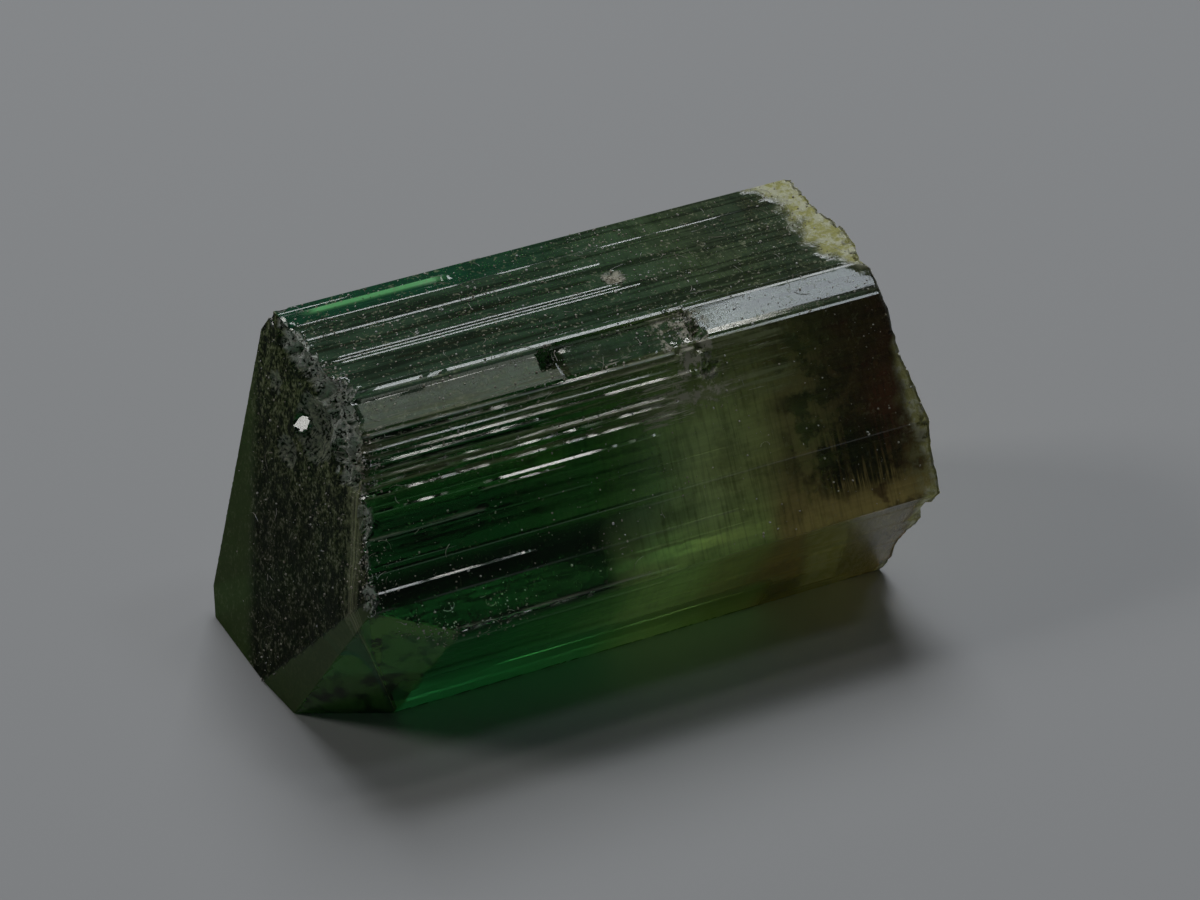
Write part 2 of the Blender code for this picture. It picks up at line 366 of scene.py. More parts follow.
def ridgesOnFace(rng, name, width):
    ridges = [makeRidge(*values) for values in mainRidges.get(name, [])]
    taken = list(ridges)
    chance, lowest, highest = fineRidges["faces"][name]
    beyond, stops = fineRidges["beyondEnds"], fineRidges["stops"]
    place = fineRidges["firstPlace"]
    while place < width - fineRidges["lastGap"]:
        size = rng.uniform(*fineRidges["widths"])
        start = rng.choice((-beyond, -beyond, rng.uniform(*fineRidges["starts"])))
        end = rng.choice((beyond, rng.uniform(*stops), rng.uniform(*stops)))
        height = rng.uniform(lowest, highest) * rng.choice(fineRidges["signs"])
        skew = rng.choice(fineRidges["skews"])
        isFree = all(place + size < r["low"] or place > r["high"] for r in taken)
        if isFree and rng.random() < chance and end > start + fineRidges["shortest"]:
            middle = place + size * skew
            ridges.append(makeRidge(middle, size, height, start, end, skew, rng.random()))
        place += size + rng.uniform(*fineRidges["spacing"])
    return ridges


def columnPlaces(rng):
    # the lines that run along the crystal: face, place across it, ridge that lifts it
    columns = []
    layerStart, layerEnd, slope = prism["layerFrontStart"], prism["layerTopEnd"], prism["layerSlope"]
    for number, (name, _, _, _, width) in enumerate(prismFaces()):
        stops = [(0.0, None)]
        for ridge in ridgesOnFace(rng, name, width):
            stops += [(ridge["low"], None), (ridge["crest"], ridge), (ridge["high"], None)]
        if name == "front":
            stops += [(layerStart - slope, None), (layerStart, None)]
        if name == "top":
            stops += [(layerEnd, None), (layerEnd + slope, None)]
        stops.sort(key=lambda stop: stop[0])
        kept = [stops[0]]
        for stop in stops[1:]:
            gap = stop[0] - kept[-1][0]
            if min(gap, width - stop[0]) < prism["narrowestColumn"]:
                continue
            extra = int(gap / prism["widestColumn"])
            for _ in range(extra):
                kept.append((kept[-1][0] + gap / (extra + 1), None))
            kept.append(stop)
        columns += [(number, place, ridge) for place, ridge in kept]
    return columns


def ringPlaces():
    rings = []
    for start, end, spacing in prism["ringSpans"]:
        count = round((end - start) / spacing)
        rings += [start + (end - start) * n / count for n in range(count)]
    return rings + [prism["breakX"]]


def layerCover(name, place):
    # where the outer growth layer lies across the outline
    if name == "front":
        return 1.0 if place >= prism["layerFrontStart"] else 0.0
    if name == "top":
        return 1.0 if place <= prism["layerTopEnd"] else 0.0
    return 1.0 if name == "narrow" else 0.0


def ridgeAmount(ridge, x):
    taper = prism["ridgeTaper"]
    share = clamp01(min((x - ridge["start"]) / taper, (ridge["end"] - x) / taper))
    along, across, contrast = prism["ridgeWear"]
    worn = noise.noise((x * along, ridge["crest"] * across, 3.0)) * contrast + 1.0
    share *= 1.0 - ridge["gaps"] * (1.0 - clamp01(worn))
    along, across, strength = prism["ridgeWander"]
    wander = strength * noise.noise((x * along, ridge["crest"] * across, 0.0))
    return ridge["height"] * share * (1.0 + wander)


def markLine(vert, marks, ridge, x):
    # painted highlights, pale dusty dashes and dark lines keep to the crest of their ridge
    if not ridge or not ridge["look"]:
        return
    taper, least = paintedLines["taper"], paintedLines["least"]
    inside = ramp01(x, ridge["start"], ridge["start"] + taper)
    inside *= fadeOut(x, ridge["end"] - taper, ridge["end"])
    along, across, layer = paintedLines["wear"]
    worn = noise.noise((x * along, ridge["crest"] * across, layer))
    worn = ramp01(worn, *paintedLines["worn"])
    vert[marks[ridge["look"]]] = inside * ridge["strength"] * (least + (1.0 - least) * worn)


def liftAt(number, name, place, width, ridge, x):
    # how far the surface stands out from its flat face
    height = ridgeAmount(ridge, x) if ridge else 0.0
    dipStart, dipEnd, dip = prism["narrowDip"]
    if name == "narrow" and dipStart < x < dipEnd:
        height -= dip * place / width
    wander = prism["ledgeWander"] * noise.noise((place * prism["ledgeGrain"], number, 0.0))
    if x < prism["ledgeX"] + wander:
        height += layerCover(name, place) * prism["layerHeight"]
    if name != "bottom" and not (name == "lowerFront" and place == 0.0):
        along, across, strength = prism["waves"]
        height += strength * noise.noise((x * along, place * across, number * prism["noiseStep"]))
    return height


def wrapPrism(bm, marks):
    # a flat grid is wrapped round the crystal's outline, one row per line along it
    rng = random.Random(prism["seed"])
    faces = prismFaces()
    columns = columnPlaces(rng)
    rings = ringPlaces()
    bmesh.ops.create_grid(bm, x_segments=len(rings) - 1, y_segments=len(columns), size=1.0)
    bm.verts.ensure_lookup_table()
    walked = 0.0
    lastFace = 0
    for j in range(len(columns) + 1):
        number, place, ridge = columns[j % len(columns)]
        if j < len(columns) and number != lastFace:
            walked += faces[lastFace][4]
            lastFace = number
        name, corner, walk, normal, width = faces[number]
        outward = normal
        if place == 0.0:
            joined = (faces[number - 1][3] + normal).normalized()
            outward = joined / joined.dot(normal)
        for i, x in enumerate(rings):
            spot = corner + walk * place + outward * liftAt(number, name, place, width, ridge, x)
            vert = bm.verts[j * len(rings) + i]
            vert.co = (x, spot.x, spot.y)
            vert[marks["across"]] = walked + place
            markLine(vert, marks, ridge, x)
    bmesh.ops.remove_doubles(bm, verts=bm.verts, dist=tiny)
    print("prism:", len(columns), "lines,", len(rings), "rings")


# the natural end on the left and the broken one on the right, in millimetres
ends = {
    # a point on each end plane and its normal
    "endFace": ((-9.80, 0.0, 0.0), (-1.0, -0.047, 0.225)),
    "cornerFace": ((-5.88, -4.80, 4.48), (-0.388, -0.834, -0.392)),
    "wedgeFace": ((-9.45, -0.37, 1.46), (-0.980, -0.143, 0.141)),
    "gridSpacing": 0.085,
    "wideSpacing": 0.22,
    "gridUp": (0.0, 0.31, 1.0),
    # the broken end: its rim, its bulge and its roughness, as grain, share and which noise
    "breakRimFrom": 9.0,
    "unevenFrom": 8.0,
    "bulge": 0.72,
    "bulgeCentre": (-4.6, 5.4),
    "bulgeSpread": 2.7,
    "breakRoughness": 0.26,
    "breakGrains": [(2.1, 1.0, 0.3), (0.9, 0.35, 5.0), (0.35, 0.16, 9.0)],
    # the calm strip down the back of the natural end: side, lean, border, share
    "calmStrip": (1.37, 0.338, 0.9, 0.8),
    # its pits and lumps, as noise per millimetre, depth and which noise
    "pitDepth": 0.045,
    "pits": [(1.4, 1.0, 1.0), (4.5, 0.5, 4.0)],
    "lumpDepth": 0.06,
    "lumps": [(1.9, 0.75, 7.0), (5.0, 0.34, 9.0)],
    # where it is lumpy: soft limits that z is above and y is below
    "lumpZones": [((8.3, 9.3), (-0.2, 0.7)), ((9.6, 10.0), (3.0, 3.9))],
    "lumpCrumbs": (0.2, 0.6),
    "wedgeFrost": 0.85,
    # the pale rim of the broken end: where it starts, less to the front, more to the back
    "rimStart": 8.25,
    "rimFront": (-2.2, -0.3),
    "rimBack": (3.2, 4.4),
    "rimBackShare": 0.6,
    "rimWander": [(0.4, 0.75), (1.9, 0.35)],
    "rimBorder": (-0.15, 0.35),
    # flat chips that catch the light: place, direction, radius
    "glints": [
        ((-8.00, 1.55, 8.30), (-0.60, -0.22, 0.76), 0.31),
        ((2.95, -1.62, 10.05), (0.00, -0.375, 0.927), 0.18),
        ((2.72, -1.37, 10.18), (0.00, -0.375, 0.927), 0.15),
        ((3.22, -1.85, 9.80), (0.00, -0.375, 0.927), 0.17),
        ((2.45, -1.85, 9.85), (0.00, -0.375, 0.927), 0.14),
        ((3.36, -1.40, 10.16), (0.00, -0.330, 0.945), 0.15),
        ((3.05, -2.30, 9.20), (0.00, -0.375, 0.927), 0.13),
    ],
    "glintReach": 1.0,
    "glintSeed": 3,
    # many small ones where it is crumbly: from, to, how many
    "sparkles": [
        ((-7.75, -0.60, 10.40), (-8.10, -3.20, 8.90), 30),
        ((-7.60, -0.40, 10.50), (-7.60, 4.00, 10.50), 12),
        ((-7.95, -2.70, 8.90), (-8.40, -4.60, 5.50), 10),
        ((2.20, -2.10, 9.60), (3.40, -1.20, 10.30), 10),
    ],
    "sparkleNormals": [(-0.623, -0.232, 0.746), (-0.103, -0.167, 0.980), (-0.006, -0.375, 0.927)],
    "sparkleTilt": 0.06,
    "sparkleSpread": 0.5,
    "sparkleSizes": (0.06, 0.13),
}

# what a face of the mesh belongs to, kept as its material index while it is made
sideZone, endZone, cornerZone, wedgeZone, breakZone = range(5)

# what a vertex keeps: the way round the outline in millimetres, then masks from 0 to 1
markNames = (
    "across", "bright", "dashed", "dark", "broken", "frosted", "pitted", "rim", "corner", "dusty"
)


def cutEnd(bm, point, normal, zone):
    everything = bm.verts[:] + bm.edges[:] + bm.faces[:]
    cut = bmesh.ops.bisect_plane(
        bm, geom=everything, plane_co=point, plane_no=normal, clear_outer=True, dist=tiny
    )
    rim = [item for item in cut["geom_cut"] if isinstance(item, bmesh.types.BMEdge)]
    fillRim(bm, rim, zone)


def closeBreak(bm):
    start = ends["breakRimFrom"]
    rim = [e for e in bm.edges if e.is_boundary and min(v.co.x for v in e.verts) > start]
    fillRim(bm, rim, breakZone)


def fillRim(bm, rim, zone):
    for face in bmesh.ops.edgeloop_fill(bm, edges=rim)["faces"]:
        face.material_index = zone


def gridZone(bm, zone, normal, spacing):
    # cut a flat end into a fine grid, so that it can be made uneven
    normal = Vector(normal).normalized()
    first = normal.cross(Vector(ends["gridUp"])).normalized()
    for direction in (first, normal.cross(first)):
        chosen = [f for f in bm.faces if f.material_index == zone]
        items = set(chosen)
        for face in chosen:
            items.update(face.verts)
            items.update(face.edges)
        places = [v.co.dot(direction) for f in chosen for v in f.verts]
        items = list(items)
        place = min(places) + spacing
        while place < max(places):
            cut = bmesh.ops.bisect_plane(
                bm, geom=items, plane_co=direction * place, plane_no=direction, dist=tiny
            )
            items = cut["geom"]
            place += spacing


def breakOffset(y, z):
    dy = (y - ends["bulgeCentre"][0]) / ends["bulgeSpread"]
    dz = (z - ends["bulgeCentre"][1]) / ends["bulgeSpread"]
    bulge = ends["bulge"] / (1.0 + dy * dy + dz * dz)
    rough = 0.0
    for grain, share, layer in ends["breakGrains"]:
        rough += share * noise.noise(Vector((y, z, layer)) / grain)
    return bulge + ends["breakRoughness"] * rough


def endNoises(y, z, sizes):
    return [share * noise.noise(Vector((y, z, layer)) * fineness) for fineness, share, layer in sizes]


def pitEndFace(marks, verts, rim):
    # pits all over it, lumps along its upper edge, calm at the back; its rim stays in place
    endNormal = Vector(ends["endFace"][1]).normalized()
    side, lean, border, share = ends["calmStrip"]
    for vert in verts:
        _, y, z = vert.co
        rough = 1.0 - share * ramp01(y - side - lean * z, 0.0, border)
        lumps = max(ramp01(z, *height) * fadeOut(y, *width) for height, width in ends["lumpZones"])
        depth = ends["pitDepth"] * sum(endNoises(y, z, ends["pits"])) * rough
        depth -= lumps * sum(map(abs, endNoises(y, z, ends["lumps"])), ends["lumpDepth"])
        if vert not in rim:
            vert.co += endNormal * depth
        vert[marks["frosted"]] = 1.0
        vert[marks["pitted"]] = rough
        vert[marks["broken"]] = ramp01(lumps, *ends["lumpCrumbs"])


def paintRim(bm, marks):
    for vert in bm.verts:
        x, y, _ = vert.co
        start = ends["rimStart"] + (1.0 - ramp01(y, *ends["rimFront"]))
        start -= ramp01(y, *ends["rimBack"]) * ends["rimBackShare"]
        wander = sum(share * noise.noise(vert.co * fineness) for fineness, share in ends["rimWander"])
        vert[marks["rim"]] = ramp01(x + wander - start, *ends["rimBorder"])


def unevenEnds(bm, marks):
    # the broken end stands out unevenly, and the natural one is pitted
    onZone = {zone: set() for zone in range(breakZone + 1)}
    for face in bm.faces:
        onZone[face.material_index].update(face.verts)
    for vert in bm.verts:
        x, y, z = vert.co
        if x > ends["unevenFrom"]:
            vert.co.x = x + breakOffset(y, z) * ramp01(x, ends["unevenFrom"], prism["breakX"])
    for vert in onZone[breakZone]:
        vert[marks["broken"]] = 1.0
    pitEndFace(marks, onZone[endZone], onZone[sideZone])
    for vert in onZone[wedgeZone]:
        vert[marks["frosted"]] = ends["wedgeFrost"]
    for vert in onZone[cornerZone]:
        vert[marks["corner"]] = 1.0
    for vert in onZone[endZone] | onZone[cornerZone] | onZone[wedgeZone]:
        for name in ("bright", "dashed", "dark"):
            vert[marks[name]] = 0.0
    paintRim(bm, marks)


# where chips came off, in millimetres
chips = {
    # name, centre, half size, turn about X in degrees
    "places": [
        ("topEdge", (-8.05, 2.60, 10.75), (0.75, 1.35, 0.55), 0.0),
        ("topCorner", (-8.00, 5.00, 10.70), (0.80, 0.85, 1.10), 20.0),
        ("corner", (-7.75, -0.35, 10.75), (0.80, 0.95, 0.70), -40.0),
        ("shoulder", (-8.15, -2.05, 9.85), (0.60, 0.72, 0.95), -30.0),
        ("endFace", (-8.20, 0.70, 8.80), (0.75, 1.25, 1.15), 10.0),
        ("endLow", (-8.50, 1.95, 7.30), (0.45, 0.70, 0.55), 0.0),
        ("endSmall", (-8.40, 3.30, 8.80), (0.50, 0.55, 0.60), 0.0),
        ("frontEdge", (-7.95, -2.95, 8.05), (0.32, 0.45, 0.70), -30.0),
        ("frontLow", (-8.20, -3.60, 7.10), (0.28, 0.35, 0.45), -30.0),
        ("junction", (-8.35, -4.15, 6.15), (0.38, 0.45, 0.50), -20.0),
        ("front", (1.95, -4.05, 8.40), (1.25, 0.75, 1.05), -30.0),
        ("topPit", (2.05, 1.62, 10.82), (0.42, 0.45, 0.42), 0.0),
        ("breakFront", (9.70, -4.85, 3.30), (0.55, 0.95, 0.85), 0.0),
        ("breakTop", (9.45, -0.60, 10.90), (0.60, 1.10, 0.60), 0.0),
        ("breakBack", (9.50, 4.90, 10.40), (0.70, 0.80, 0.90), 0.0),
        ("notch", (-1.42, -1.16, 10.36), (0.27, 0.32, 0.40), 30.0),
    ],
    "smooth": ("endFace", "endLow", "endSmall", "notch"),
    "smoothRoughness": 0.25,
    # many small ones along the worn edges: from, to, how many, smallest, largest
    "rows": [
        ((-7.75, -0.6, 10.5), (-8.1, -3.2, 8.9), 60, 0.10, 0.34),
        ((-7.9, -1.7, 8.4), (-7.6, 0.6, 9.9), 50, 0.10, 0.34),
        ((-7.9, -2.7, 8.9), (-8.4, -4.6, 5.5), 60, 0.06, 0.22),
        ((-7.6, -0.4, 10.5), (-7.5, 4.2, 10.5), 34, 0.06, 0.22),
        ((3.1, -0.9, 10.5), (3.3, -2.3, 9.0), 40, 0.06, 0.18),
        ((9.1, -0.6, 10.5), (9.3, 4.3, 10.5), 40, 0.04, 0.11),
        ((9.2, -1.6, 10.0), (9.9, -4.8, 4.6), 34, 0.03, 0.08),
        ((9.9, -4.7, 4.4), (9.2, -2.3, 0.1), 24, 0.03, 0.08),
        ((-7.6, -0.75, 10.6), (3.3, -0.75, 10.6), 10, 0.03, 0.06),
        ((-8.2, -4.85, 4.56), (-1.3, -4.85, 4.56), 90, 0.03, 0.07),
        ((1.0, -3.3, 9.3), (3.0, -3.6, 8.7), 30, 0.05, 0.20),
    ],
    "grain": 2.3,
    "unevenness": 0.22,
    "reach": 1.3,
    "seedStep": 3.7,
    # the small ones: how far off their row, how stretched, turned, and which noise
    "spread": 1.4,
    "stretch": (0.6, 1.4),
    "turns": (-40.0, 40.0),
    "noisePlaces": (0.0, 90.0),
    # fine roughness on what is broken: noise per millimetre and depth
    "crumbs": [(3.0, 0.030), (8.0, 0.018)],
    "seed": 11,
}


class NearIndex:
    # vertices sorted into boxes, so that a chip finds its own quickly

    def __init__(self, bm, cell=0.5):
        self.cell = cell
        self.boxes = {}
        for vert in bm.verts:
            self.boxes.setdefault(self.key(vert.co), []).append(vert)

    def key(self, place):
        return tuple(int(value // self.cell) for value in place)

    def near(self, centre, reach):
        low = self.key(centre - Vector((reach, reach, reach)))
        high = self.key(centre + Vector((reach, reach, reach)))
        for i in range(low[0], high[0] + 1):
            for j in range(low[1], high[1] + 1):
                for k in range(low[2], high[2] + 1):
                    yield from self.boxes.get((i, j, k), ())


def randomOffset(rng, reach):
    return Vector([rng.uniform(-reach, reach) for _ in range(3)])


def carve(index, marks, centre, size, turn, seed, roughness=1.0):
    # push what lies inside an uneven lump down on to its far side
    centre, size = Vector(centre), Vector(size)
    back = Matrix.Rotation(radians(turn), 3, "X").transposed()
    inside = []
    outward = Vector()
    for vert in index.near(centre, max(size) * chips["reach"]):
        local = back @ (vert.co - centre)
        local = Vector((local.x / size.x, local.y / size.y, local.z / size.z))
        bump = noise.noise(local.normalized() * chips["grain"] + Vector((seed, 0.0, 0.0)))
        radius = 1.0 + chips["unevenness"] * bump
        if local.length < radius:
            inside.append((vert, local, radius))
            outward += vert.normal
    if not inside or outward.length < tiny:
        return
    inward = back @ -outward.normalized()
    ray = Vector((inward.x / size.x, inward.y / size.y, inward.z / size.z))
    for vert, local, radius in inside:
        a = ray.dot(ray)
        b = local.dot(ray)
        c = local.dot(local) - radius * radius
        travel = (-b + sqrt(b * b - a * c)) / a
        vert.co -= outward.normalized() * travel
        vert[marks["broken"]] = max(vert[marks["broken"]], roughness)


def carveChips(bm, marks):
    rng = random.Random(chips["seed"])
    bm.normal_update()
    index = NearIndex(bm)
    for number, (name, centre, size, turn) in enumerate(chips["places"]):
        roughness = chips["smoothRoughness"] if name in chips["smooth"] else 1.0
        carve(index, marks, centre, size, turn, number * chips["seedStep"], roughness)
    bm.normal_update()
    index = NearIndex(bm)
    for start, end, count, smallest, largest in chips["rows"]:
        for _ in range(count):
            place = Vector(start).lerp(Vector(end), rng.random())
            radius = rng.uniform(smallest, largest)
            place += randomOffset(rng, 1.0) * radius * chips["spread"]
            size = [radius * rng.uniform(*chips["stretch"]) for _ in range(3)]
            turn = rng.uniform(*chips["turns"])
            carve(index, marks, place, size, turn, rng.uniform(*chips["noisePlaces"]))


def crumble(bm, marks):
    # fine roughness on everything that is broken
    bm.normal_update()
    moves = []
    for vert in bm.verts:
        if vert[marks["broken"]] > 0.5:
            amount = sum(depth * noise.noise(vert.co * fineness) for fineness, depth in chips["crumbs"])
            moves.append((vert, vert.normal * amount))
    for vert, move in moves:
        vert.co += move


def cleaveGlint(marks, index, wanted, direction, radius):
    # one small flat chip that catches the light
    wanted, normal = Vector(wanted), Vector(direction).normalized()
    nearby = list(index.near(wanted, ends["glintReach"]))
    point = min(nearby, key=lambda vert: (vert.co - wanted).length).co.copy()
    for vert in nearby:
        away = vert.co - point
        if away.length < radius:
            vert.co -= normal * away.dot(normal)
            for name in markNames[1:]:  # the way round stays
                vert[marks[name]] = 0.0


def cleaveGlints(bm, marks):
    rng = random.Random(ends["glintSeed"])
    index = NearIndex(bm)
    for place, direction, radius in ends["glints"]:
        cleaveGlint(marks, index, place, direction, radius)
    for start, end, count in ends["sparkles"]:
        for _ in range(count):
            place = Vector(start).lerp(Vector(end), rng.random())
            place += randomOffset(rng, ends["sparkleSpread"])
            direction = Vector(rng.choice(ends["sparkleNormals"]))
            direction += randomOffset(rng, ends["sparkleTilt"])
            cleaveGlint(marks, index, place, direction, rng.uniform(*ends["sparkleSizes"]))


# how much dust lies on what looks up, in pits, on what is broken and along the upper edge of
# the front face; how level that has to be, and where that band lies, across and in x
dustFall = {
    "onLevel": 0.55,
    "inPits": 0.30,
    "onBroken": 0.45,
    "onBand": 1.3,
    "level": (0.30, 0.80),
    "bandLevel": (0.55, 0.75),
    "bandFrom": (9.2, 9.9),
    "bandTo": (11.46, 11.56),
    "bandEnd": (2.4, 3.4),
}


def settleDust(bm, marks):
    bm.normal_update()
    for vert in bm.verts:
        walk = vert[marks["across"]]
        facing = vert.normal.z
        band = ramp01(walk, *dustFall["bandFrom"]) * fadeOut(walk, *dustFall["bandTo"])
        band *= fadeOut(vert.co.x, *dustFall["bandEnd"])
        vert[marks["dusty"]] = max(
            dustFall["onLevel"] * share01(facing, *dustFall["level"]),
            dustFall["inPits"] * vert[marks["pitted"]],
            dustFall["onBroken"] * vert[marks["broken"]],
            dustFall["onBand"] * band * share01(facing, *dustFall["bandLevel"]),
        )


# an edge with a sharper angle in degrees stays crisp
crispAngles = {
    "along": 7.0,
    "across": 32.0,
    "straightness": 0.8,  # the least share of an edge's length in x, where it runs along
}


def shadeByAngle(bm):
    # crisp growth lines along the crystal, soft shading across it
    for face in bm.faces:
        face.smooth = True
    for edge in bm.edges:
        if len(edge.link_faces) != 2:
            continue
        step = edge.verts[0].co - edge.verts[1].co
        runsAlong = abs(step.x) > crispAngles["straightness"] * step.length
        sharp = radians(crispAngles["along" if runsAlong else "across"])
        edge.smooth = edge.calc_face_angle(0.0) < sharp


def finishPiece(name, bm, material):
    # millimetres become metres, and the piece rides where it lies
    bmesh.ops.scale(bm, verts=bm.verts, vec=(mm, mm, mm))
    mesh = bpy.data.meshes.new(name)
    bm.to_mesh(mesh)
    bm.free()
    mesh.materials.append(material)
    piece = bpy.data.objects.new(name, mesh)
    bpy.context.scene.collection.objects.link(piece)
    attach(piece, "root")
    return piece


def buildCrystal():
    bm = bmesh.new()
    marks = {name: bm.verts.layers.float.new(name) for name in markNames}
    wrapPrism(bm, marks)
    cutEnd(bm, *ends["endFace"], endZone)
    cutEnd(bm, *ends["cornerFace"], cornerZone)
    cutEnd(bm, *ends["wedgeFace"], wedgeZone)
    closeBreak(bm)
    gridZone(bm, endZone, ends["endFace"][1], ends["gridSpacing"])
    gridZone(bm, cornerZone, ends["cornerFace"][1], ends["wideSpacing"])
    gridZone(bm, wedgeZone, ends["wedgeFace"][1], ends["wideSpacing"])
    gridZone(bm, breakZone, (1.0, 0.0, 0.0), ends["gridSpacing"])
    unevenEnds(bm, marks)
    carveChips(bm, marks)
    crumble(bm, marks)
    settleDust(bm, marks)
    cleaveGlints(bm, marks)
    for face in bm.faces:
        face.material_index = 0  # the piece has one material
    bmesh.ops.triangulate(bm, faces=[f for f in bm.faces if len(f.verts) > 4], ngon_method="EAR_CLIP")
    bmesh.ops.recalc_face_normals(bm, faces=bm.faces)
    shadeByAngle(bm)
    print("crystal:", sum(len(f.verts) - 2 for f in bm.faces), "triangles")
    return finishPiece("tourmaline", bm, tourmalineMaterial())


